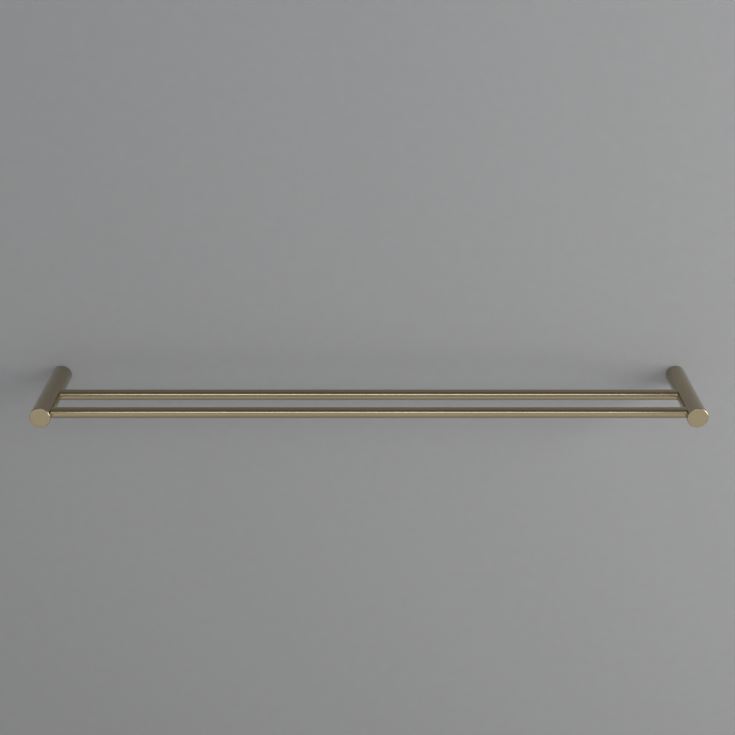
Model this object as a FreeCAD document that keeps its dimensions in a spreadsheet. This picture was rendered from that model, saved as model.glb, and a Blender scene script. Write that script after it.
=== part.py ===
import FreeCAD, Part
import os
import Sketcher

# A double towel rail: two round posts stand out of the wall and carry two round rails between
# them. Each post slips over a spigot on the wall, where a grub screw from below holds it.
# Each rail end sits in a blind socket in the post, and a grub screw from below holds it too.
#
# Millimetres. The origin is on the wall, midway between the posts and level with their axes.
# +X is to the right seen from the room, +Y goes into the wall and +Z is up.

sizes = [
    ("post_centres", "775", "distance between the axes of the two posts"),
    ("post_length", "125", "how far the posts stand out of the wall"),
    ("post_diameter", "25", "outside diameter of a post"),
    ("post_wall", "3.5", "wall around the bore that takes the spigot"),
    ("post_bore_depth", "22", "depth of that bore from the wall end"),
    ("post_front_round", "1", "radius around the front face of a post"),
    ("post_back_chamfer", "0.4", "chamfer around the wall end of a post"),
    ("rail_diameter", "13", "outside diameter of a rail"),
    ("rail_wall", "1.2", "wall of the rail tube"),
    ("front_rail_inset", "15", "front rail's axis behind the front face of the posts"),
    ("rail_spacing", "50", "distance between the axes of the two rails"),
    ("socket_depth", "13", "depth of a rail socket from the post's inner side"),
    ("socket_clearance", "0.1", "radial gap between rail and socket"),
    ("rail_end_gap", "0.5", "gap between a rail's end and the floor of its socket"),
    ("end_plug_collar", "1", "thickness of the collar that covers the tube's end"),
    ("end_plug_step", "0.3", "how much smaller the collar's radius is than the rail's"),
    ("end_plug_stem", "13", "length of the plug's stem in the tube"),
    ("end_plug_chamfer", "0.5", "lead-in chamfer of the stem"),
    ("grub_diameter", "4", "thread of every grub screw"),
    ("grub_recess", "0.4", "how deep the grub screws sit below the post's surface"),
    ("grub_drive", "2", "key size of the hexagon socket, across flats"),
    ("grub_drive_depth", "1.8", "depth of the hexagon socket"),
    ("flat_point", "2.5", "diameter of the flat point that presses on a rail"),
    ("cone_point", "0.5", "diameter of the blunt end of the cone point"),
    ("thread_gap", "0.05", "radial gap in place of a cut thread"),
    ("rail_screw_inset", "4", "grub screw's axis from the end of the rail"),
    ("spigot_clearance", "0.1", "radial gap between spigot and bore"),
    ("spigot_length", "18", "how far the spigot stands out of the wall"),
    ("spigot_chamfer", "1", "chamfer around the spigot's free end"),
    ("groove_height", "9", "middle of the groove from the wall"),
    ("groove_depth", "1.8", "depth of the groove for the cone point"),
    ("groove_floor", "0.8", "width of the groove's floor"),
    ("wall_screw_diameter", "5", "thread of the wall screw"),
    ("wall_screw_length", "60", "overall length of the wall screw"),
    ("wall_screw_head", "9.6", "diameter of its countersunk head"),
    ("wall_screw_rim", "0.3", "straight rim of the head"),
    ("wall_screw_point", "6", "length of its point"),
    ("wall_screw_clearance", "0.25", "radial gap in the spigot's hole"),
    ("wall_screw_sink", "0.5", "how far the countersink is wider than the head, on the radius"),
    ("drive_span", "5", "span of the cross recess in the head"),
    ("drive_slot", "1.1", "width of its slots"),
    ("drive_depth", "2.4", "depth of its slots"),
    ("plug_diameter", "8", "wall plug, and the hole that is drilled for it"),
    ("plug_length", "40", "length of the wall plug"),
    ("plug_taper_length", "4", "tapered far end of the wall plug"),
    ("plug_taper", "0.8", "how much the radius drops over that taper"),
    ("plug_slit", "1.2", "width of the slits that let the plug spread"),
    ("plug_slit_length", "18", "length of the slits"),
]

doc = FreeCAD.newDocument("double_towel_rail")
sheet = doc.addObject("Spreadsheet::Sheet", "Sizes")
for row, (alias, value, meaning) in enumerate(sizes, start=1):
    sheet.set(f"A{row}", meaning)
    sheet.set(f"B{row}", value)
    sheet.setAlias(f"B{row}", alias)
doc.recompute()

# Sizes and places that follow from the sheet, as expressions.
post_radius = "Sizes.post_diameter / 2"
bore_radius = f"({post_radius} - Sizes.post_wall)"
rail_radius = "Sizes.rail_diameter / 2"
socket_radius = f"({rail_radius} + Sizes.socket_clearance)"
spigot_radius = f"({bore_radius} - Sizes.spigot_clearance)"
groove_radius = f"({spigot_radius} - Sizes.groove_depth)"
grub_radius = "Sizes.grub_diameter / 2"
tapped_diameter = "Sizes.grub_diameter + 2 * Sizes.thread_gap"
front_rail_height = "(Sizes.post_length - Sizes.front_rail_inset)"
rear_rail_height = f"({front_rail_height} - Sizes.rail_spacing)"

# Along X from a post's axis towards the other post.
socket_floor = f"({post_radius} - Sizes.socket_depth)"
rail_end = f"({socket_floor} + Sizes.rail_end_gap)"
tube_end = f"({rail_end} + Sizes.end_plug_collar)"
rail_screw_place = f"({rail_end} + Sizes.rail_screw_inset)"
post_edge_at_screw = f"sqrt(({post_radius})^2 - ({rail_screw_place} + {grub_radius})^2)"
rail_screw_length = f"({post_edge_at_screw} - {rail_radius} - Sizes.grub_recess)"
bracket_screw_length = f"({post_radius} - Sizes.grub_recess - {groove_radius})"

# Local axes of every turned piece: it is turned about Z. These turn Z to the room, down, and
# towards the middle of the rack.
to_room = FreeCAD.Rotation(FreeCAD.Vector(1, 0, 0), 90)
to_floor = FreeCAD.Rotation(FreeCAD.Vector(1, 0, 0), 180)
to_right = FreeCAD.Rotation(FreeCAD.Vector(0, 1, 0), 90)
to_left = FreeCAD.Rotation(FreeCAD.Vector(0, 1, 0), -90)
unturned = FreeCAD.Rotation()

subparts = []


def place(piece, place_x, place_y, place_z, rotation):
    piece.Placement = FreeCAD.Placement(FreeCAD.Vector(), rotation)
    for letter, expression in zip("xyz", (place_x, place_y, place_z)):
        piece.setExpression(f"Placement.Base.{letter}", expression)
    subparts.append(piece)


def new_body(label, place_x, place_y="0", place_z="0", rotation=unturned):
    body = doc.addObject("PartDesign::Body", label)
    body.Label = label
    place(body, place_x, place_y, place_z, rotation)
    return body


def new_sketch(body, name, plane, lift="0"):
    # A sketch on one of the body's own planes, lifted along that plane's normal.
    sketch = body.newObject("Sketcher::SketchObject", name)
    support = next(item for item in body.Origin.OriginFeatures if item.Role == plane)
    sketch.AttachmentSupport = [(support, "")]
    sketch.MapMode = "FlatFace"
    sketch.setExpression("AttachmentOffset.Base.z", lift)
    return sketch


def bind(sketch, constraint, expression):
    index = sketch.addConstraint(constraint)
    sketch.setExpression(f"Constraints[{index}]", expression)


def draw_circle(sketch, across, up, diameter):
    centre = FreeCAD.Vector(sheet.evalExpression(across), sheet.evalExpression(up), 0)
    radius = sheet.evalExpression(f"({diameter}) / 2")
    curve = sketch.addGeometry(Part.Circle(centre, FreeCAD.Vector(0, 0, 1), radius), False)
    bind(sketch, Sketcher.Constraint("DistanceX", -1, 1, curve, 3, centre.x), across)
    bind(sketch, Sketcher.Constraint("DistanceY", -1, 1, curve, 3, centre.y), up)
    bind(sketch, Sketcher.Constraint("Diameter", curve, 2 * radius), diameter)


def draw_outline(sketch, corners):
    # A closed outline through these corners, each an expression across and one up.
    points = [
        FreeCAD.Vector(sheet.evalExpression(across), sheet.evalExpression(up), 0)
        for across, up in corners
    ]
    ends = points[1:] + points[:1]
    lines = [
        sketch.addGeometry(Part.LineSegment(start, end), False)
        for start, end in zip(points, ends)
    ]
    for line, following in zip(lines, lines[1:] + lines[:1]):
        sketch.addConstraint(Sketcher.Constraint("Coincident", line, 2, following, 1))
    for line, point, (across, up) in zip(lines, points, corners):
        bind(sketch, Sketcher.Constraint("DistanceX", -1, 1, line, 1, point.x), across)
        bind(sketch, Sketcher.Constraint("DistanceY", -1, 1, line, 1, point.y), up)


def turn(body, name, corners):
    # Turns a section, given as radius and height, about the body's Z axis.
    sketch = new_sketch(body, f"{name}_section", "XZ_Plane")
    draw_outline(sketch, corners)
    turned = body.newObject("PartDesign::Revolution", name)
    turned.Profile = sketch
    turned.ReferenceAxis = (sketch, ["V_Axis"])
    turned.Angle = 360
    doc.recompute()
    return turned


def cut(body, name, sketch, along_normal, depth=None):
    # Cuts the sketch through everything on one side of its plane, or to a depth.
    pocket = body.newObject("PartDesign::Pocket", name)
    pocket.Profile = sketch
    pocket.Reversed = along_normal
    if depth is None:
        pocket.Type = "ThroughAll"
    else:
        pocket.setExpression("Length", depth)
    doc.recompute()
    return pocket


def edge_name(shape, radius, height):
    # The round edge of this radius at this height on the Z axis.
    for number, edge in enumerate(shape.Edges, start=1):
        curve = edge.Curve
        if not isinstance(curve, Part.Circle) or abs(curve.Radius - radius) > 1e-6:
            continue
        if abs(curve.Center.z - height) < 1e-6:
            return f"Edge{number}"
    raise ValueError(f"no edge of radius {radius} at height {height}")


def make_post(label, side):
    # A turned brass bar. Its sockets open towards the middle of the rack.
    body = new_body(label, f"{side} * Sizes.post_centres / 2", rotation=to_room)
    bar = turn(
        body,
        f"{label}_bar",
        [
            ("0", "Sizes.post_bore_depth"),
            (bore_radius, "Sizes.post_bore_depth"),
            (bore_radius, "0"),
            (f"{post_radius} - Sizes.post_back_chamfer", "0"),
            (post_radius, "Sizes.post_back_chamfer"),
            (post_radius, "Sizes.post_length"),
            ("0", "Sizes.post_length"),
        ],
    )
    radius = sheet.evalExpression(post_radius)
    front_edge = edge_name(bar.Shape, radius, sheet.evalExpression("Sizes.post_length"))
    rounded = body.newObject("PartDesign::Fillet", f"{label}_front_round")
    rounded.Base = (bar, [front_edge])
    rounded.setExpression("Radius", "Sizes.post_front_round")
    doc.recompute()

    inward = -side
    sockets = new_sketch(body, f"{label}_socket_circles", "YZ_Plane", f"{inward} * {socket_floor}")
    for height in (front_rail_height, rear_rail_height):
        draw_circle(sockets, "0", height, f"2 * {socket_radius}")
    cut(body, f"{label}_sockets", sockets, along_normal=(inward > 0))

    tapped = new_sketch(body, f"{label}_tapped_circles", "XZ_Plane")
    draw_circle(tapped, "0", "Sizes.groove_height", tapped_diameter)
    for height in (front_rail_height, rear_rail_height):
        draw_circle(tapped, f"{inward} * {rail_screw_place}", height, tapped_diameter)
    cut(body, f"{label}_tapped_holes", tapped, along_normal=True)


def make_rail(label, height):
    # A drawn tube that ends where the collars of its end plugs begin.
    body = new_body(label, "0", f"-{height}")
    sketch = new_sketch(body, f"{label}_circles", "YZ_Plane")
    draw_circle(sketch, "0", "0", "Sizes.rail_diameter")
    draw_circle(sketch, "0", "0", "Sizes.rail_diameter - 2 * Sizes.rail_wall")
    tube = body.newObject("PartDesign::Pad", f"{label}_tube")
    tube.Profile = sketch
    tube.SideType = "Symmetric"
    tube.setExpression("Length", f"Sizes.post_centres - 2 * {tube_end}")
    doc.recompute()


def make_end_plug(label, side, height):
    # A turned plug, pressed into the tube so that the grub screw can't crush it.
    outer = f"({rail_radius} - Sizes.end_plug_step)"
    stem = f"({rail_radius} - Sizes.rail_wall)"
    stem_end = "(Sizes.end_plug_collar + Sizes.end_plug_stem)"
    place_x = f"{side} * (Sizes.post_centres / 2 - {rail_end})"
    rotation = to_left if side > 0 else to_right
    body = new_body(label, place_x, f"-{height}", rotation=rotation)
    turn(
        body,
        f"{label}_turned",
        [
            ("0", "0"),
            (outer, "0"),
            (outer, "Sizes.end_plug_collar"),
            (stem, "Sizes.end_plug_collar"),
            (stem, f"{stem_end} - Sizes.end_plug_chamfer"),
            (f"{stem} - Sizes.end_plug_chamfer", stem_end),
            ("0", stem_end),
        ],
    )


def make_grub_screw(label, place_x, height, tip_depth, length, point):
    # It is driven up from below: Z = 0 is the point, and the hexagon socket is at the far end.
    body = new_body(label, place_x, f"-{height}", f"-{tip_depth}", to_floor)
    slope = f"({grub_radius} - {point} / 2)"
    turn(
        body,
        f"{label}_turned",
        [
            ("0", "0"),
            (f"{point} / 2", "0"),
            (grub_radius, slope),
            (grub_radius, length),
            ("0", length),
        ],
    )
    half_flats = "Sizes.grub_drive / 2"
    half_points = f"({half_flats} / cos(30))"
    quarter = f"({half_points} / 2)"
    hexagon = new_sketch(body, f"{label}_hexagon", "XY_Plane", length)
    corners = [
        (half_points, "0"),
        (quarter, half_flats),
        (f"-{quarter}", half_flats),
        (f"-{half_points}", "0"),
        (f"-{quarter}", f"-{half_flats}"),
        (quarter, f"-{half_flats}"),
    ]
    draw_outline(hexagon, corners)
    cut(body, f"{label}_drive", hexagon, along_normal=False, depth="Sizes.grub_drive_depth")


def make_wall_bracket(label, side):
    # A turned spigot with a groove for the cone point and a countersunk hole for the screw.
    hole = "(Sizes.wall_screw_diameter / 2 + Sizes.wall_screw_clearance)"
    sink = "(Sizes.wall_screw_head / 2 + Sizes.wall_screw_sink)"
    half_floor = "Sizes.groove_floor / 2"
    half_mouth = f"({half_floor} + Sizes.groove_depth)"
    body = new_body(label, f"{side} * Sizes.post_centres / 2", rotation=to_room)
    turn(
        body,
        f"{label}_turned",
        [
            (hole, "0"),
            (spigot_radius, "0"),
            (spigot_radius, f"Sizes.groove_height - {half_mouth}"),
            (groove_radius, f"Sizes.groove_height - {half_floor}"),
            (groove_radius, f"Sizes.groove_height + {half_floor}"),
            (spigot_radius, f"Sizes.groove_height + {half_mouth}"),
            (spigot_radius, "Sizes.spigot_length - Sizes.spigot_chamfer"),
            (f"{spigot_radius} - Sizes.spigot_chamfer", "Sizes.spigot_length"),
            (sink, "Sizes.spigot_length"),
            (hole, f"Sizes.spigot_length - {sink} + {hole}"),
        ],
    )


def make_wall_screw(label, side):
    # A countersunk screw. The cone of its head lies on the cone of the spigot's countersink.
    head = "(Sizes.wall_screw_head / 2)"
    shank = "(Sizes.wall_screw_diameter / 2)"
    rim_base = "(Sizes.spigot_length - Sizes.wall_screw_sink)"
    top = f"({rim_base} + Sizes.wall_screw_rim)"
    tip = f"({top} - Sizes.wall_screw_length)"
    body = new_body(label, f"{side} * Sizes.post_centres / 2", rotation=to_room)
    turn(
        body,
        f"{label}_turned",
        [
            ("0", top),
            ("0", tip),
            (shank, f"{tip} + Sizes.wall_screw_point"),
            (shank, f"{rim_base} - {head} + {shank}"),
            (head, rim_base),
            (head, top),
        ],
    )
    long = "Sizes.drive_span / 2"
    short = "Sizes.drive_slot / 2"
    cross = new_sketch(body, f"{label}_cross", "XY_Plane", top)
    corners = [
        (long, short),
        (short, short),
        (short, long),
        (f"-{short}", long),
        (f"-{short}", short),
        (f"-{long}", short),
        (f"-{long}", f"-{short}"),
        (f"-{short}", f"-{short}"),
        (f"-{short}", f"-{long}"),
        (short, f"-{long}"),
        (short, f"-{short}"),
        (long, f"-{short}"),
    ]
    draw_outline(cross, corners)
    cut(body, f"{label}_recess", cross, along_normal=False, depth="Sizes.drive_depth")


def make_wall_plug(label, side):
    # A nylon plug in the drilled hole, its mouth level with the wall and its far end slit.
    def add(kind, name, **expressions):
        item = doc.addObject(kind, f"{label}_{name}")
        for prop, expression in expressions.items():
            item.setExpression(prop.replace("_", "."), expression)
        return item

    plug_radius = "Sizes.plug_diameter / 2"
    straight = "(Sizes.plug_length - Sizes.plug_taper_length)"
    barrel = add("Part::Cylinder", "barrel", Radius=plug_radius, Height=straight)
    taper = add(
        "Part::Cone",
        "taper",
        Radius1=plug_radius,
        Radius2=f"{plug_radius} - Sizes.plug_taper",
        Height="Sizes.plug_taper_length",
        Placement_Base_z=straight,
    )
    outside = doc.addObject("Part::Fuse", f"{label}_outside")
    outside.Base = barrel
    outside.Tool = taper
    bore = add(
        "Part::Cylinder",
        "bore",
        Radius="Sizes.wall_screw_diameter / 2 + Sizes.thread_gap",
        Height="Sizes.plug_length",
    )
    slit_start = "Sizes.plug_length - Sizes.plug_slit_length"
    upright = add(
        "Part::Box",
        "upright_slit",
        Length="Sizes.plug_slit",
        Width="Sizes.plug_diameter",
        Height="Sizes.plug_slit_length",
        Placement_Base_x="-Sizes.plug_slit / 2",
        Placement_Base_y=f"-{plug_radius}",
        Placement_Base_z=slit_start,
    )
    level = add(
        "Part::Box",
        "level_slit",
        Length="Sizes.plug_diameter",
        Width="Sizes.plug_slit",
        Height="Sizes.plug_slit_length",
        Placement_Base_x=f"-{plug_radius}",
        Placement_Base_y="-Sizes.plug_slit / 2",
        Placement_Base_z=slit_start,
    )
    hollow = doc.addObject("Part::MultiFuse", f"{label}_hollow")
    hollow.Shapes = [bore, upright, level]
    plug = doc.addObject("Part::Cut", label)
    plug.Label = label
    plug.Base = outside
    plug.Tool = hollow
    into_wall = FreeCAD.Rotation(FreeCAD.Vector(1, 0, 0), -90)
    place(plug, f"{side} * Sizes.post_centres / 2", "0", "0", into_wall)


make_rail("front_rail", front_rail_height)
make_rail("rear_rail", rear_rail_height)
for name, side in (("left", -1), ("right", 1)):
    make_post(f"{name}_post", side)
    make_wall_bracket(f"{name}_wall_bracket", side)
    make_wall_screw(f"{name}_wall_screw", side)
    make_wall_plug(f"{name}_wall_plug", side)
    post_place = f"{side} * Sizes.post_centres / 2"
    make_grub_screw(
        f"{name}_bracket_screw",
        post_place,
        "Sizes.groove_height",
        groove_radius,
        bracket_screw_length,
        "Sizes.cone_point",
    )
    screw_place = f"{side} * (Sizes.post_centres / 2 - {rail_screw_place})"
    for rail, height in (("front", front_rail_height), ("rear", rear_rail_height)):
        make_end_plug(f"{rail}_rail_{name}_end_plug", side, height)
        make_grub_screw(
            f"{rail}_rail_{name}_screw",
            screw_place,
            height,
            rail_radius,
            rail_screw_length,
            "Sizes.flat_point",
        )

doc.recompute()
for item in doc.Objects:
    if "Invalid" in item.State or "Error" in item.State:
        raise RuntimeError(f"{item.Label} did not build: {item.State}")
    if item.TypeId == "PartDesign::Pocket":
        removed = item.BaseFeature.Shape.Volume - item.Shape.Volume
        if removed < 1:
            raise RuntimeError(f"{item.Label} cuts nothing")
for piece in subparts:
    if piece.Shape.isNull() or not piece.Shape.isValid() or len(piece.Shape.Solids) != 1:
        raise RuntimeError(f"{piece.Label} is not one valid solid")

os.makedirs("parts", exist_ok=True)
for piece in subparts:
    piece.Shape.exportStep(f"parts/{piece.Label}.step")
    print(piece.Label, round(piece.Shape.Volume, 1), "mm3")
print(len(subparts), "pieces")
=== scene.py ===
import math

import bmesh
import bpy
from mathutils import Matrix, Vector


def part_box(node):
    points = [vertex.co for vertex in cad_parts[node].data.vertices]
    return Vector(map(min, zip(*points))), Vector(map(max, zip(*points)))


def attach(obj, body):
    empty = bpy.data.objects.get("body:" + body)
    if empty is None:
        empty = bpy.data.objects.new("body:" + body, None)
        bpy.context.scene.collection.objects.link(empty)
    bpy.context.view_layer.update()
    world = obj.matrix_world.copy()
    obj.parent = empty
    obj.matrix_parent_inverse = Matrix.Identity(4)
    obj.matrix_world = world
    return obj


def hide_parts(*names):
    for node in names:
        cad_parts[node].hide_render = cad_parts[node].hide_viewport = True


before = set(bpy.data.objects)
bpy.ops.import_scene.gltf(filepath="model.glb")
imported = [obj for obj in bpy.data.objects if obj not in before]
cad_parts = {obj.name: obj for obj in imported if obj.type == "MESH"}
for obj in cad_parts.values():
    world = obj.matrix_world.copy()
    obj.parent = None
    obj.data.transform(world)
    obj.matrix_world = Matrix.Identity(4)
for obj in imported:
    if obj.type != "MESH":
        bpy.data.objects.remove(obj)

scene = bpy.context.scene
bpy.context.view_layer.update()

mm = 0.001  # the dictionaries below hold millimetres; places taken from the frame are in metres
weldDistance = 0.0005  # mm, joins only what coincides
sameSpot = 0.01  # mm, how near a vertex counts as being at a given radius or height
chamfered = 1  # bevel segments that cut an edge flat
rounded = 2  # and those that take its sharpness off
sharpAngle = 32  # degrees, a steeper fold is shaded as an edge
waveUnit = 20  # the wave texture runs through this many radians in one unit of length
noiseSpread = (0.3, 0.7)  # nearly all of a noise texture's values lie between these
outerEdge = (0.53, 0.62)  # Pointiness where an outer edge begins and where it is sharpest

# A turned piece is made standing on Z. These lay its Z along another axis.
facing = {
    "toRoom": Matrix.Rotation(math.pi / 2, 4, "X"),
    "toWall": Matrix.Rotation(-math.pi / 2, 4, "X"),
    "toFloor": Matrix.Rotation(math.pi, 4, "X"),
    "toRight": Matrix.Rotation(math.pi / 2, 4, "Y"),
    "toLeft": Matrix.Rotation(-math.pi / 2, 4, "Y"),
}
sides = {"left": -1, "right": 1}
rails = ("front", "rear")


def linear(code):
    # sRGB hex to the linear values that sockets hold
    channels = [int(code[i:i + 2], 16) / 255 for i in (1, 3, 5)]
    return [c / 12.92 if c <= 0.04045 else ((c + 0.055) / 1.055) ** 2.4 for c in channels] + [1.0]


def addNode(tree, kind, settings={}, inputs={}, links={}, stops=()):
    node = tree.nodes.new(kind)
    for name, value in settings.items():
        setattr(node, name, value)
    for socket, value in inputs.items():
        node.inputs[socket].default_value = value
    for socket, source in links.items():
        tree.links.new(source, node.inputs[socket])
    for number, (position, code) in enumerate(stops):
        elements = node.color_ramp.elements
        element = elements[number] if number < len(elements) else elements.new(position)
        element.position = position
        element.color = linear(code)
    return node


def newMaterial(name):
    material = bpy.data.materials.new(name)
    material.use_nodes = True
    tree = material.node_tree
    return material, tree, tree.nodes["Principled BSDF"]


def scaledNoise(tree, size, detail=2.0, roughness=0.5):
    # noise whose grain measures size = (x, y, z) millimetres, on the piece's own coordinates
    place = addNode(tree, "ShaderNodeTexCoord")
    mapping = addNode(
        tree,
        "ShaderNodeMapping",
        settings={"vector_type": "POINT"},
        inputs={"Scale": [1 / (s * mm) for s in size]},
        links={"Vector": place.outputs["Object"]},
    )
    return addNode(
        tree,
        "ShaderNodeTexNoise",
        inputs={"Scale": 1.0, "Detail": detail, "Roughness": roughness},
        links={"Vector": mapping.outputs["Vector"]},
    )


def finishMetal(tree, shader, look, lines, clouds):
    # lines and clouds are values about 0.5: they tint the metal, vary its gloss and raise its grain
    tint = addNode(
        tree,
        "ShaderNodeValToRGB",
        links={"Fac": lines},
        stops=((noiseSpread[0], look["dark"]), (noiseSpread[1], look["light"])),
    )
    aged = addNode(
        tree,
        "ShaderNodeValToRGB",
        links={"Fac": clouds},
        stops=((noiseSpread[0], look["dull"]), (noiseSpread[1], "#ffffff")),
    )
    colour = addNode(
        tree,
        "ShaderNodeMix",
        settings={"data_type": "RGBA", "blend_type": "MULTIPLY"},
        inputs={"Factor": 1.0},
        links={6: tint.outputs["Color"], 7: aged.outputs["Color"]},
    )
    # coating and polish wear first on the edges, which turn paler and smoother
    geometry = addNode(tree, "ShaderNodeNewGeometry")
    edge = addNode(
        tree,
        "ShaderNodeMapRange",
        inputs={"From Min": outerEdge[0], "From Max": outerEdge[1], "To Max": look["edgeWear"]},
        links={"Value": geometry.outputs["Pointiness"]},
    )
    worn = addNode(
        tree,
        "ShaderNodeMix",
        settings={"data_type": "RGBA"},
        inputs={7: linear(look["edge"])},
        links={"Factor": edge.outputs["Result"], 6: colour.outputs[2]},
    )
    mixed = addNode(
        tree,
        "ShaderNodeMix",
        settings={"data_type": "FLOAT"},
        inputs={"Factor": look["cloudShare"]},
        links={2: lines, 3: clouds},
    )
    gloss = addNode(
        tree,
        "ShaderNodeMapRange",
        inputs={
            "From Min": noiseSpread[0],
            "From Max": noiseSpread[1],
            "To Min": look["roughness"][0],
            "To Max": look["roughness"][1],
        },
        links={"Value": mixed.outputs[0]},
    )
    grain = addNode(
        tree,
        "ShaderNodeBump",
        inputs={"Strength": look["grain"], "Distance": look["grainDepth"] * mm},
        links={"Height": lines},
    )
    shader.inputs["Metallic"].default_value = 1.0
    tree.links.new(worn.outputs[2], shader.inputs["Base Color"])
    tree.links.new(gloss.outputs["Result"], shader.inputs["Roughness"])
    tree.links.new(grain.outputs["Normal"], shader.inputs["Normal"])
    shader.inputs["Coat Weight"].default_value = look["lacquer"]
    shader.inputs["Coat Roughness"].default_value = look["lacquerRoughness"]


satinBrass = {
    "dark": "#a09170",
    "light": "#a59675",
    "dull": "#f4f2ee",
    "edge": "#b5a684",
    "edgeWear": 0.5,
    "roughness": (0.195, 0.215),
    "grain": 0.1,
    "grainDepth": 0.0015,
    "lineWidth": 0.7,  # 240 grit leaves lines of 0.05 mm, drawn wider so that they show
    "lineLength": 320,
    "ringRipple": 1.5,  # how far a ring on the front face strays from a circle
    "rippleDetail": 2.0,
    "rippleScale": 3.0,
    "barRingDetail": 3.0,
    "barRingRoughness": 0.6,
    "ringEvenness": 60,  # how far a turned ring runs before it fades into its neighbour
    "barShare": 0.7,  # of the rings round the bar in a post's pattern; the rest are on its face
    "cloudSize": 60,
    "cloudStretch": 4,
    "postCloudDetail": 3.0,
    "cloudShare": 0.45,
    "lacquer": 1.0,
    "lacquerRoughness": 0.1,
}


def brushedBrassRail():
    # Brass tube, brushed along its length and coated a dark champagne: a satin sheen with fine
    # straight lines and long soft bands
    material, tree, shader = newMaterial("champagneBrassBrushed")
    width, length = satinBrass["lineWidth"], satinBrass["lineLength"]
    lines = scaledNoise(tree, (length, width, width))
    cloud = satinBrass["cloudSize"]
    clouds = scaledNoise(tree, (cloud * satinBrass["cloudStretch"], cloud, cloud))
    finishMetal(tree, shader, satinBrass, lines.outputs["Fac"], clouds.outputs["Fac"])
    return material


def turnedBrassPost(name, centre):
    # Brass bar, satin turned on the lathe and coated: rings round the bar and on its front face
    material, tree, shader = newMaterial(name)
    width = satinBrass["lineWidth"]
    place = addNode(tree, "ShaderNodeTexCoord")
    centred = addNode(
        tree,
        "ShaderNodeMapping",
        settings={"vector_type": "POINT"},
        inputs={"Location": -centre},
        links={"Vector": place.outputs["Object"]},
    )
    faceRings = addNode(
        tree,
        "ShaderNodeTexWave",
        settings={"wave_type": "RINGS", "rings_direction": "Y"},
        inputs={
            "Scale": math.tau / (waveUnit * width * mm),
            "Distortion": satinBrass["ringRipple"],
            "Detail": satinBrass["rippleDetail"],
            "Detail Scale": satinBrass["rippleScale"],
        },
        links={"Vector": centred.outputs["Vector"]},
    )
    evenness = satinBrass["ringEvenness"]
    barRings = scaledNoise(
        tree,
        (evenness, width, evenness),
        detail=satinBrass["barRingDetail"],
        roughness=satinBrass["barRingRoughness"],
    )
    lines = addNode(
        tree,
        "ShaderNodeMix",
        settings={"data_type": "FLOAT"},
        inputs={"Factor": satinBrass["barShare"]},
        links={2: faceRings.outputs["Fac"], 3: barRings.outputs["Fac"]},
    )
    cloud = satinBrass["cloudSize"]
    clouds = scaledNoise(tree, (cloud, cloud, cloud), detail=satinBrass["postCloudDetail"])
    finishMetal(tree, shader, satinBrass, lines.outputs[0], clouds.outputs["Fac"])
    return material


plainBrass = {
    "dark": "#c9a765",
    "light": "#d8b877",
    "dull": "#e6dccb",
    "edge": "#e6cd93",
    "edgeWear": 0.6,
    "roughness": (0.22, 0.4),
    "grain": 0.3,
    "grainDepth": 0.03,
    "lineWidth": 0.35,  # the feed of the cutting tool
    "lineLength": 20,
    "cloudSize": 9,
    "cloudDetail": 4.0,
    "cloudShare": 0.45,
    "lacquer": 0.0,
    "lacquerRoughness": 0.0,
}


def machinedBrass(name, axis):
    # Free-cutting brass as it leaves the lathe, uncoated: yellow, with tool rings and light tarnish
    material, tree, shader = newMaterial(name)
    grainSize = [plainBrass["lineLength"]] * 3
    grainSize[axis] = plainBrass["lineWidth"]
    lines = scaledNoise(tree, grainSize)
    cloud = plainBrass["cloudSize"]
    clouds = scaledNoise(tree, (cloud, cloud, cloud), detail=plainBrass["cloudDetail"])
    finishMetal(tree, shader, plainBrass, lines.outputs["Fac"], clouds.outputs["Fac"])
    return material


stainlessSteel = {
    "dark": "#a9a7a2",
    "light": "#bdbbb6",
    "dull": "#dedbd6",
    "edge": "#d2d0cc",
    "edgeWear": 0.6,
    "roughness": (0.24, 0.42),
    "grain": 0.2,
    "grainDepth": 0.02,
    "grainSize": 0.8,
    "grainDetail": 4.0,
    "grainRoughness": 0.6,
    "cloudSize": 6,
    "cloudShare": 0.45,
    "lacquer": 0.0,
    "lacquerRoughness": 0.0,
}


def rolledSteel():
    # Stainless A2 screws, cold formed and tumbled: grey, softly pitted, with brighter thread crests
    material, tree, shader = newMaterial("stainlessTumbled")
    pits = scaledNoise(
        tree,
        [stainlessSteel["grainSize"]] * 3,
        detail=stainlessSteel["grainDetail"],
        roughness=stainlessSteel["grainRoughness"],
    )
    clouds = scaledNoise(tree, [stainlessSteel["cloudSize"]] * 3)
    finishMetal(tree, shader, stainlessSteel, pits.outputs["Fac"], clouds.outputs["Fac"])
    return material


nylon = {
    "dark": "#83858a",
    "light": "#93959a",
    "roughness": (0.42, 0.56),
    "grainSize": 0.5,
    "grainDetail": 3.0,
    "flowSize": 7,
    "flowDetail": 4.0,
    "grain": 0.4,
    "grainDepth": 0.03,
    "translucence": 0.08,
    "lightDepth": 1,  # how far light spreads inside
}


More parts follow.
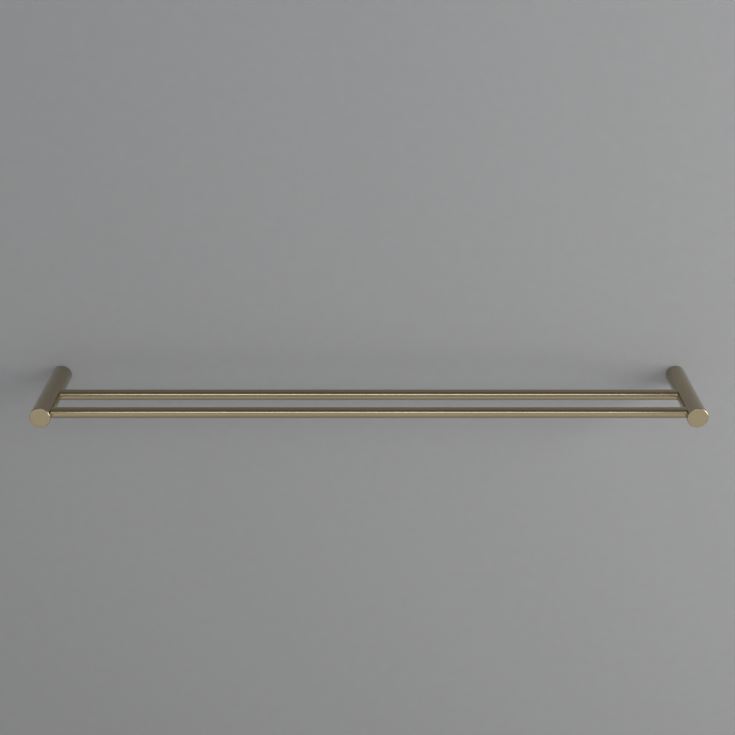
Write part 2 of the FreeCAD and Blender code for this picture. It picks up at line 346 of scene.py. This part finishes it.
def mouldedNylon():
    # Grey polyamide, injection moulded: dull, faintly translucent, with cloudy flow marks
    material, tree, shader = newMaterial("greyNylonMoulded")
    flow = scaledNoise(tree, [nylon["flowSize"]] * 3, detail=nylon["flowDetail"])
    fine = scaledNoise(tree, [nylon["grainSize"]] * 3, detail=nylon["grainDetail"])
    colour = addNode(
        tree,
        "ShaderNodeValToRGB",
        links={"Fac": flow.outputs["Fac"]},
        stops=((noiseSpread[0], nylon["dark"]), (noiseSpread[1], nylon["light"])),
    )
    gloss = addNode(
        tree,
        "ShaderNodeMapRange",
        inputs={
            "From Min": noiseSpread[0],
            "From Max": noiseSpread[1],
            "To Min": nylon["roughness"][0],
            "To Max": nylon["roughness"][1],
        },
        links={"Value": fine.outputs["Fac"]},
    )
    grain = addNode(
        tree,
        "ShaderNodeBump",
        inputs={"Strength": nylon["grain"], "Distance": nylon["grainDepth"] * mm},
        links={"Height": fine.outputs["Fac"]},
    )
    tree.links.new(colour.outputs["Color"], shader.inputs["Base Color"])
    tree.links.new(gloss.outputs["Result"], shader.inputs["Roughness"])
    tree.links.new(grain.outputs["Normal"], shader.inputs["Normal"])
    shader.inputs["Subsurface Weight"].default_value = nylon["translucence"]
    shader.inputs["Subsurface Scale"].default_value = nylon["lightDepth"] * mm
    return material


def turnProfile(profile, steps, closed=False):
    # spins (radius, height) points about Z, as on a lathe
    bm = bmesh.new()
    points = [bm.verts.new((radius, 0, height)) for radius, height in profile]
    lines = [bm.edges.new(pair) for pair in zip(points, points[1:])]
    if closed:
        lines.append(bm.edges.new((points[-1], points[0])))
    bmesh.ops.spin(
        bm,
        geom=points + lines,
        cent=(0, 0, 0),
        axis=(0, 0, 1),
        angle=math.tau,
        steps=steps,
        use_merge=True,
    )
    bmesh.ops.remove_doubles(bm, verts=bm.verts, dist=weldDistance)
    bmesh.ops.recalc_face_normals(bm, faces=bm.faces)
    return bm


def roundRing(bm, radius, height, width, segments=rounded):
    # rounds the circular edge of a turned shape at this radius and height
    ring = [
        edge
        for edge in bm.edges
        if all(
            abs(v.co.z - height) < sameSpot and abs(v.co.xy.length - radius) < sameSpot
            for v in edge.verts
        )
    ]
    bmesh.ops.bevel(
        bm,
        geom=ring,
        offset=width,
        affect="EDGES",
        segments=segments,
        profile=0.5,
        material=-1,
    )


def stations(radius, start, end, step):
    # points up a straight wall, near enough together to carry a thread or to keep its shading even
    count = math.ceil((end - start) / step)
    return [(radius, start + (end - start) * i / count) for i in range(count + 1)]


def cutThread(bm, start, end, pitch, depth, rootFlat, crestFlat, runOut):
    # a right-hand thread: each vertex sinks by its place on the helix, as a share of its radius
    for v in bm.verts:
        inside = min(v.co.z - start, end - v.co.z)
        radius = v.co.xy.length
        if inside <= 0 or radius < sameSpot:
            continue
        turn = math.atan2(v.co.y, v.co.x) / math.tau
        phase = (v.co.z / pitch - turn) % 1
        climb = abs(2 * phase - 1)
        rise = (climb - rootFlat) / (1 - rootFlat - crestFlat)
        sink = depth * (1 - min(max(rise, 0), 1)) * min(inside / runOut, 1)
        v.co.xy *= 1 - sink


def makeObject(bm, name):
    mesh = bpy.data.meshes.new(name)
    bm.to_mesh(mesh)
    bm.free()
    made = bpy.data.objects.new(name, mesh)
    scene.collection.objects.link(made)
    return made


def carve(piece, cutters):
    # takes the cutters out of the piece, then throws them away
    tools = [makeObject(cutter, f"{piece.name}_cutter") for cutter in cutters]
    for tool in tools:
        cut = piece.modifiers.new("cut", "BOOLEAN")
        cut.operation = "DIFFERENCE"
        cut.solver = "EXACT"
        cut.object = tool
    depsgraph = bpy.context.evaluated_depsgraph_get()
    carved = bpy.data.meshes.new_from_object(piece.evaluated_get(depsgraph))
    piece.modifiers.clear()
    piece.data = carved
    for tool in tools:
        bpy.data.objects.remove(tool)


def shifted(bm, x, y, z, turned=None):
    matrix = Matrix.Translation((x, y, z)) @ (turned or Matrix())
    bmesh.ops.transform(bm, matrix=matrix, verts=bm.verts)
    return bm


def settle(piece, node, material, place, direction):
    # turns the piece from millimetres about Z to its place in the frame, and hands it to its body
    mesh = piece.data
    mesh.transform(Matrix.Translation(place) @ facing[direction] @ Matrix.Scale(mm, 4))
    mesh.materials.clear()
    mesh.materials.append(material)
    mesh.shade_smooth()
    mesh.set_sharp_from_angle(angle=math.radians(sharpAngle))
    flatter = piece.modifiers.new("evenNormals", "WEIGHTED_NORMAL")
    flatter.keep_sharp = True
    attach(piece, "root")
    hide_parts(node)


def middle(node):
    low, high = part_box(node)
    return (low + high) / 2


post = {
    "diameter": 25,
    "frontRound": 1.0,
    "roundSegments": 6,
    "wallChamfer": 0.4,
    "bore": 18,
    "boreDepth": 22,
    "boreChamfer": 0.3,
    "socket": 13.2,
    "socketDepth": 13,
    "socketReach": 2,  # how far a cutter stands out of the surface that it cuts
    "tappedHole": 4.1,
    "tappedDepth": 7,
    "holeChamfer": 0.35,
    "holeReach": 1,
    "ringSpacing": 3,
    "steps": 192,
    "holeSteps": 48,
}


def socketCutter(inward, height):
    floor = post["diameter"] / 2 - post["socketDepth"]
    reach = post["socketDepth"] + post["socketReach"]
    radius = post["socket"] / 2
    bm = turnProfile([(0, 0), (radius, 0), (radius, reach), (0, reach)], post["steps"])
    direction = "toRight" if inward > 0 else "toLeft"
    return shifted(bm, inward * floor, 0, height, facing[direction])


def tappedCutter(across, height):
    # comes up from under the post, with a small countersink where it breaks the surface
    radius = post["tappedHole"] / 2
    chamfer = post["holeChamfer"]
    surface = math.sqrt((post["diameter"] / 2) ** 2 - across**2)
    inner, outer = surface - post["tappedDepth"], surface + post["holeReach"]
    profile = [
        (0, inner),
        (radius, inner),
        (radius, surface - chamfer),
        (radius + chamfer + outer - surface, outer),
        (0, outer),
    ]
    return shifted(turnProfile(profile, post["holeSteps"]), across, 0, height, facing["toRoom"])


def makePost(side, material):
    node = f"{side}_post"
    low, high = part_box(node)
    wallEnd = Vector((middle(node).x, high.y, middle(node).z))
    length = (high.y - low.y) / mm
    radius = post["diameter"] / 2
    bore = post["bore"] / 2
    outside = stations(radius, 0, length, post["ringSpacing"])
    # a ring inside the front face keeps the wear on its rim
    front = [(radius - post["ringSpacing"], length), (0, length)]
    bm = turnProfile(
        [(0, post["boreDepth"]), (bore, post["boreDepth"]), (bore, 0), *outside, *front],
        post["steps"],
    )
    roundRing(bm, radius, length, post["frontRound"], post["roundSegments"])
    roundRing(bm, radius, 0, post["wallChamfer"], chamfered)
    roundRing(bm, bore, 0, post["boreChamfer"], chamfered)
    piece = makeObject(bm, f"{side}Post")

    inward = -sides[side]
    cutters = [tappedCutter(0, (high.y - middle(f"{side}_bracket_screw").y) / mm)]
    for name in rails:
        height = (high.y - middle(f"{name}_rail").y) / mm
        screw = middle(f"{name}_rail_{side}_screw")
        cutters.append(socketCutter(inward, height))
        cutters.append(tappedCutter((screw.x - wallEnd.x) / mm, height))
    carve(piece, cutters)
    settle(piece, node, material, wallEnd, "toRoom")


rail = {"diameter": 13, "wall": 1.2, "endChamfer": 0.2, "steps": 128, "stations": 32}


def makeRail(name, material):
    node = f"{name}_rail"
    low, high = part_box(node)
    length = (high.x - low.x) / mm
    outer = rail["diameter"] / 2
    inner = outer - rail["wall"]
    outside = stations(outer, 0, length, length / rail["stations"])
    bm = turnProfile([(inner, 0), *outside, (inner, length)], rail["steps"], closed=True)
    for radius in (outer, inner):
        for height in (0, length):
            roundRing(bm, radius, height, rail["endChamfer"], chamfered)
    piece = makeObject(bm, f"{name}Rail")
    place = Vector((low.x, middle(node).y, middle(node).z))
    settle(piece, node, material, place, "toRight")


endPlug = {
    "collar": 12.4,
    "collarThickness": 1.0,
    "collarRound": 0.2,
    "stem": 10.6,
    "reliefWidth": 0.8,
    "reliefDepth": 0.3,
    "leadIn": 0.5,
    "centreHole": 2.0,
    "steps": 64,
}


def makeEndPlug(name, side, material):
    # Z = 0 is the collar's face on the socket's floor; both ends have a 45 degree centre hole
    node = f"{name}_rail_{side}_end_plug"
    low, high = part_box(node)
    length = (high.x - low.x) / mm
    collar, stem = endPlug["collar"] / 2, endPlug["stem"] / 2
    thick, relief = endPlug["collarThickness"], endPlug["reliefWidth"]
    neck = stem - endPlug["reliefDepth"]
    hole = endPlug["centreHole"] / 2
    bm = turnProfile(
        [
            (0, hole),
            (hole, 0),
            (collar, 0),
            (collar, thick),
            (neck, thick),
            (neck, thick + relief),
            (stem, thick + relief + endPlug["reliefDepth"]),
            (stem, length - endPlug["leadIn"]),
            (stem - endPlug["leadIn"], length),
            (hole, length),
            (0, length - hole),
        ],
        endPlug["steps"],
    )
    for height in (0, thick):
        roundRing(bm, collar, height, endPlug["collarRound"])
    piece = makeObject(bm, f"{name}Rail{side.title()}EndPlug")
    inward = -sides[side]
    x = low.x if inward > 0 else high.x
    place = Vector((x, middle(node).y, middle(node).z))
    settle(piece, node, material, place, "toRight" if inward > 0 else "toLeft")


grub = {
    "diameter": 4,
    "pitch": 0.7,
    "threadDepth": 0.21,  # share of the radius
    "rootFlat": 0.2,
    "crestFlat": 0.12,
    "runOut": 0.35,
    "key": 2,  # across the flats
    "keySides": 6,
    "keyDepth": 1.8,
    "keyPoint": 0.35,
    "endChamfer": 0.35,
    "ringsPerPitch": 8,
    "conePoint": 0.5,
    "flatPoint": 2.5,
    "steps": 48,
}


def makeGrubScrew(node, name, point, material):
    # Z = 0 is the point, uppermost in the post; the key goes in at the far end, from below
    low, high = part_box(node)
    length = (high.z - low.z) / mm
    radius, chamfer = grub["diameter"] / 2, grub["endChamfer"]
    slope = radius - point / 2
    wall = stations(radius, slope, length - chamfer, grub["pitch"] / grub["ringsPerPitch"])
    bm = turnProfile(
        [(0, 0), (point / 2, 0), *wall, (radius - chamfer, length), (0, length)],
        grub["steps"],
    )
    cutThread(
        bm,
        slope - chamfer,
        length,
        grub["pitch"],
        grub["threadDepth"],
        grub["rootFlat"],
        grub["crestFlat"],
        grub["runOut"],
    )
    piece = makeObject(bm, name)

    corners = grub["key"] / 2 / math.cos(math.pi / grub["keySides"])
    key = bmesh.new()
    bmesh.ops.create_cone(
        key,
        cap_ends=True,
        segments=grub["keySides"],
        radius1=corners,
        radius2=corners,
        depth=2 * grub["keyDepth"],
    )
    lowest = min(v.co.z for v in key.verts)
    bottom = [f for f in key.faces if all(abs(v.co.z - lowest) < sameSpot for v in f.verts)]
    inset = bmesh.ops.poke(key, faces=bottom)
    for v in inset["verts"]:
        v.co.z -= grub["keyPoint"]
    carve(piece, [shifted(key, 0, 0, length)])
    place = Vector((middle(node).x, middle(node).y, high.z))
    settle(piece, node, material, place, "toFloor")


bracket = {
    "spigot": 17.8,
    "length": 18,
    "endChamfer": 1.0,
    "baseChamfer": 0.2,
    "groovePlace": 9,
    "grooveDepth": 1.8,
    "grooveFloor": 0.8,
    "hole": 5.5,
    "sink": 10.6,
    "steps": 128,
}


def makeWallBracket(side, material):
    node = f"{side}_wall_bracket"
    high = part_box(node)[1]
    spigot, hole, sink = (bracket[k] / 2 for k in ("spigot", "hole", "sink"))
    length, depth = bracket["length"], bracket["grooveDepth"]
    place, half = bracket["groovePlace"], bracket["grooveFloor"] / 2
    bm = turnProfile(
        [
            (hole, 0),
            (spigot, 0),
            (spigot, place - half - depth),
            (spigot - depth, place - half),
            (spigot - depth, place + half),
            (spigot, place + half + depth),
            (spigot, length),
            (sink, length),
            (hole, length - sink + hole),
        ],
        bracket["steps"],
        closed=True,
    )
    roundRing(bm, spigot, length, bracket["endChamfer"], chamfered)
    roundRing(bm, spigot, 0, bracket["baseChamfer"], chamfered)
    roundRing(bm, hole, 0, bracket["baseChamfer"], chamfered)
    for edge in (place - half - depth, place + half + depth):
        roundRing(bm, spigot, edge, bracket["baseChamfer"])
    piece = makeObject(bm, f"{side}WallBracket")
    wallEnd = Vector((middle(node).x, high.y, middle(node).z))
    settle(piece, node, material, wallEnd, "toRoom")


def crossedSlots(span, width, depth, top, taper=1.0):
    # two slots that cross on the axis, sunk to a depth below the top; a taper narrows their span
    slots = []
    for quarter in (0, 1):
        slot = bmesh.new()
        bmesh.ops.create_cube(slot, size=1)
        bmesh.ops.scale(slot, vec=(span, width, 2 * depth), verts=slot.verts)
        for v in slot.verts:
            if v.co.z < 0:
                v.co.x *= taper
        slots.append(shifted(slot, 0, 0, top, Matrix.Rotation(quarter * math.pi / 2, 4, "Z")))
    return slots


wallScrew = {
    "head": 9.6,
    "headRim": 0.3,
    "thread": 5,
    "shank": 3.6,
    "shankLength": 20,
    "point": 6,
    "pitch": 2.2,
    "threadDepth": 0.34,
    "rootFlat": 0.5,
    "crestFlat": 0.06,
    "crossSpan": 5,
    "crossSlot": 1.1,
    "crossDepth": 2.4,
    "crossTaper": 0.55,
    "ringsPerPitch": 12,
    "steps": 40,
}


def makeWallScrew(side, material):
    # Z = 0 is the tip, in the wall; the head is towards the room
    node = f"{side}_wall_screw"
    low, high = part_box(node)
    top = (high.y - low.y) / mm
    head, thread, shank = (wallScrew[k] / 2 for k in ("head", "thread", "shank"))
    rimBase = top - wallScrew["headRim"]
    neck = rimBase - head + shank
    threadEnd = neck - wallScrew["shankLength"]
    step = wallScrew["pitch"] / wallScrew["ringsPerPitch"]
    # a ring inside the head's top keeps the wear on the rim and the recess
    topRing = wallScrew["crossSpan"] / 2 + wallScrew["headRim"]
    pointLength = wallScrew["point"]
    point = [(thread * h / pointLength, h) for _, h in stations(0, 0, pointLength, step)]
    wall = stations(thread, pointLength, threadEnd, step)
    bm = turnProfile(
        [
            *point,
            *wall[1:],
            (shank, threadEnd + thread - shank),
            (shank, neck),
            (head, rimBase),
            (head, top),
            (topRing, top),
            (0, top),
        ],
        wallScrew["steps"],
    )
    cutThread(
        bm,
        0,
        threadEnd,
        wallScrew["pitch"],
        wallScrew["threadDepth"],
        wallScrew["rootFlat"],
        wallScrew["crestFlat"],
        wallScrew["pitch"],
    )
    piece = makeObject(bm, f"{side}WallScrew")
    recess = crossedSlots(
        wallScrew["crossSpan"],
        wallScrew["crossSlot"],
        wallScrew["crossDepth"],
        top,
        wallScrew["crossTaper"],
    )
    carve(piece, recess)
    tip = Vector((middle(node).x, high.y, middle(node).z))
    settle(piece, node, material, tip, "toRoom")


wallPlug = {
    "diameter": 8,
    "bore": 5.1,
    "endDiameter": 6.4,
    "taper": 4,
    "neck": 16,
    "neckDiameter": 7.2,
    "lip": 2,
    "ribPitch": 2.5,
    "ribDepth": 0.45,
    "slit": 1.2,
    "slitLength": 18,
    "steps": 64,
}


def makeWallPlug(side, material):
    # Z = 0 is the mouth, level with the wall; saw-tooth ribs grip, and the slit end spreads
    node = f"{side}_wall_plug"
    low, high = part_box(node)
    length = (high.y - low.y) / mm
    outer, bore = wallPlug["diameter"] / 2, wallPlug["bore"] / 2
    neck, end = wallPlug["neckDiameter"] / 2, wallPlug["endDiameter"] / 2
    pitch, depth = wallPlug["ribPitch"], wallPlug["ribDepth"]
    lip, place = wallPlug["lip"], wallPlug["neck"]
    straight = length - wallPlug["taper"]
    profile = [(bore, 0), (outer, 0), (outer, lip), (neck, lip + outer - neck), (neck, place)]
    while place + pitch < straight:
        profile += [(outer, place), (outer - depth, place + pitch)]
        place += pitch
    profile += [(outer, place), (outer, straight), (end, length), (bore, length)]
    piece = makeObject(turnProfile(profile, wallPlug["steps"], closed=True), f"{side}WallPlug")
    slitSpan = 2 * wallPlug["diameter"]
    carve(piece, crossedSlots(slitSpan, wallPlug["slit"], wallPlug["slitLength"], length))
    mouth = Vector((middle(node).x, low.y, middle(node).z))
    settle(piece, node, material, mouth, "toWall")


stage = {
    "wallGap": 0.0003,
    "wallSize": 8.0,
    "floorSize": 200.0,
    "floorDepth": 0.9,
    "wallColour": "#777777",
    "wallShade": "#747474",
    # painted light: the wall glows brighter towards the right, in place of the light that the lamp
    # at the right throws on it
    "wallGlow": ("X", -1.0, 0.058, 1.0, 0.1),  # along X, metres and brightness at each end
    "floorColour": "#969694",
    "floorShade": "#929290",
    # painted light: the floor glows brighter away from the wall, in place of lamp light falling on
    # it in front of the rack
    "floorGlow": ("Y", -2.0, 0.66, 0.0, 0.2),
    "mottleSize": 14,
    "mottleDetail": 5.0,
    "roughness": 0.9,
}


def paintWithPaintedLight(name, light, shade, glow):
    # smooth matt paint with the faintest mottle, on a sheet that glows as if lit through from
    # behind: painted light that rises along one axis, so that the rails throw hardly any shade on
    # it
    material, tree, shader = newMaterial(name)
    mottle = scaledNoise(tree, [stage["mottleSize"]] * 3, detail=stage["mottleDetail"])
    colour = addNode(
        tree,
        "ShaderNodeValToRGB",
        links={"Fac": mottle.outputs["Fac"]},
        stops=((noiseSpread[0], shade), (noiseSpread[1], light)),
    )
    place = addNode(tree, "ShaderNodeTexCoord")
    parts = addNode(tree, "ShaderNodeSeparateXYZ", links={"Vector": place.outputs["Object"]})
    # painted light: the sheet's glow, dim at one end and bright at the other
    axis, start, dim, end, bright = glow
    strength = addNode(
        tree,
        "ShaderNodeMapRange",
        inputs={"From Min": start, "From Max": end, "To Min": dim, "To Max": bright},
        links={"Value": parts.outputs[axis]},
    )
    tree.links.new(colour.outputs["Color"], shader.inputs["Base Color"])
    tree.links.new(strength.outputs["Result"], shader.inputs["Emission Strength"])
    shader.inputs["Emission Color"].default_value = (1, 1, 1, 1)
    shader.inputs["Roughness"].default_value = stage["roughness"]
    return material


def clearFromBehind(material):
    # lets the rack's back be looked at through the wall
    tree = material.node_tree
    geometry = addNode(tree, "ShaderNodeNewGeometry")
    clear = addNode(tree, "ShaderNodeBsdfTransparent")
    painted = tree.nodes["Principled BSDF"].outputs[0]
    mixed = addNode(
        tree,
        "ShaderNodeMixShader",
        links={0: geometry.outputs["Backfacing"], 1: painted, 2: clear.outputs[0]},
    )
    tree.links.new(mixed.outputs[0], tree.nodes["Material Output"].inputs["Surface"])


def makeSheet(name, matrix, size, material):
    bm = bmesh.new()
    bmesh.ops.create_grid(bm, x_segments=1, y_segments=1, size=size / 2, matrix=matrix)
    sheet = makeObject(bm, name)
    sheet.data.materials.append(material)


def makeStage():
    wall = paintWithPaintedLight("wallPaint", stage["wallColour"], stage["wallShade"], stage["wallGlow"])
    clearFromBehind(wall)
    floor = paintWithPaintedLight("floorPaint", stage["floorColour"], stage["floorShade"], stage["floorGlow"])
    floorLevel = -stage["floorDepth"]
    standing = Matrix.Translation((0, stage["wallGap"], floorLevel + stage["wallSize"] / 2))
    makeSheet("backdropWall", standing @ facing["toRoom"], stage["wallSize"], wall)
    makeSheet("floor", Matrix.Translation((0, 0, floorLevel)), stage["floorSize"], floor)


# places and sizes in metres, spread in degrees, energy in watts
rack = (0.0, 0.0, 0.0)
lamps = {
    "strip": {
        "colour": "#e2eaff",
        "place": (0.0, -2.7, 1.52),
        "aim": rack,
        "size": (2.0, 0.62),
        "spread": 180,
        "energy": 14.2,
    },
    "key": {
        "colour": "#ffffff",
        "place": (2.4, -1.3, 0.45),
        "aim": rack,
        "size": (1.2, 1.8),
        "spread": 120,
        "energy": 33,
    },
}


def makeLamps():
    for name, lamp in lamps.items():
        data = bpy.data.lights.new(name, "AREA")
        data.shape = "RECTANGLE"
        data.size, data.size_y = lamp["size"]
        data.spread = math.radians(lamp["spread"])
        data.energy = lamp["energy"]
        data.color = linear(lamp["colour"])[:3]
        holder = bpy.data.objects.new(name, data)
        holder.location = lamp["place"]
        sight = Vector(lamp["aim"]) - Vector(lamp["place"])
        holder.rotation_euler = sight.to_track_quat("-Z", "Y").to_euler()
        holder.visible_camera = False
        scene.collection.objects.link(holder)


# share of the way from straight down to straight up, and the grey of the room there
roomGreys = ((0.0, "#8a8a8a"), (0.5, "#d3d3d3"), (0.62, "#dcdcdc"), (0.75, "#7a7a7a"))


def makeRoomLight():
    world = bpy.data.worlds.new("room")
    scene.world = world
    world.use_nodes = True
    tree = world.node_tree
    background = tree.nodes["Background"]
    direction = addNode(tree, "ShaderNodeTexCoord")
    parts = addNode(
        tree,
        "ShaderNodeSeparateXYZ",
        links={"Vector": direction.outputs["Generated"]},
    )
    share = addNode(
        tree,
        "ShaderNodeMapRange",
        inputs={"From Min": -1.0, "From Max": 1.0},
        links={"Value": parts.outputs["Z"]},
    )
    grey = addNode(
        tree,
        "ShaderNodeValToRGB",
        links={"Fac": share.outputs["Result"]},
        stops=roomGreys,
    )
    tree.links.new(grey.outputs["Color"], background.inputs["Color"])


cameraSetup = {
    "place": (-0.00163, -1.505, 0.675),
    "lookDown": 23.84,  # degrees
    "lens": 63.88,
    "sensor": 36,
}


def makeCamera():
    camera = bpy.data.objects.new("camera", bpy.data.cameras.new("camera"))
    scene.collection.objects.link(camera)
    camera.location = cameraSetup["place"]
    camera.rotation_euler = (math.radians(90 - cameraSetup["lookDown"]), 0, 0)
    camera.data.lens = cameraSetup["lens"]
    camera.data.sensor_width = cameraSetup["sensor"]
    scene.camera = camera


makeCamera()
makeStage()
makeLamps()
makeRoomLight()
scene.view_settings.view_transform = "Standard"
print("stage, lamps and camera ready")

railBrass = brushedBrassRail()
for name in rails:
    makeRail(name, railBrass)
print("rails made")

for side in sides:
    makePost(side, turnedBrassPost(f"champagneBrassTurned_{side}", middle(f"{side}_post")))
print("posts made")

plugBrass = machinedBrass("brassMachinedPlug", 0)  # turned about X
bracketBrass = machinedBrass("brassMachinedSpigot", 1)  # turned about Y
steel = rolledSteel()
grey = mouldedNylon()
for side in sides:
    makeWallBracket(side, bracketBrass)
    makeWallScrew(side, steel)
    makeWallPlug(side, grey)
    makeGrubScrew(f"{side}_bracket_screw", f"{side}BracketScrew", grub["conePoint"], steel)
    for name in rails:
        makeEndPlug(name, side, plugBrass)
        screw = f"{name}Rail{side.title()}Screw"
        makeGrubScrew(f"{name}_rail_{side}_screw", screw, grub["flatPoint"], steel)
print("fixings made")
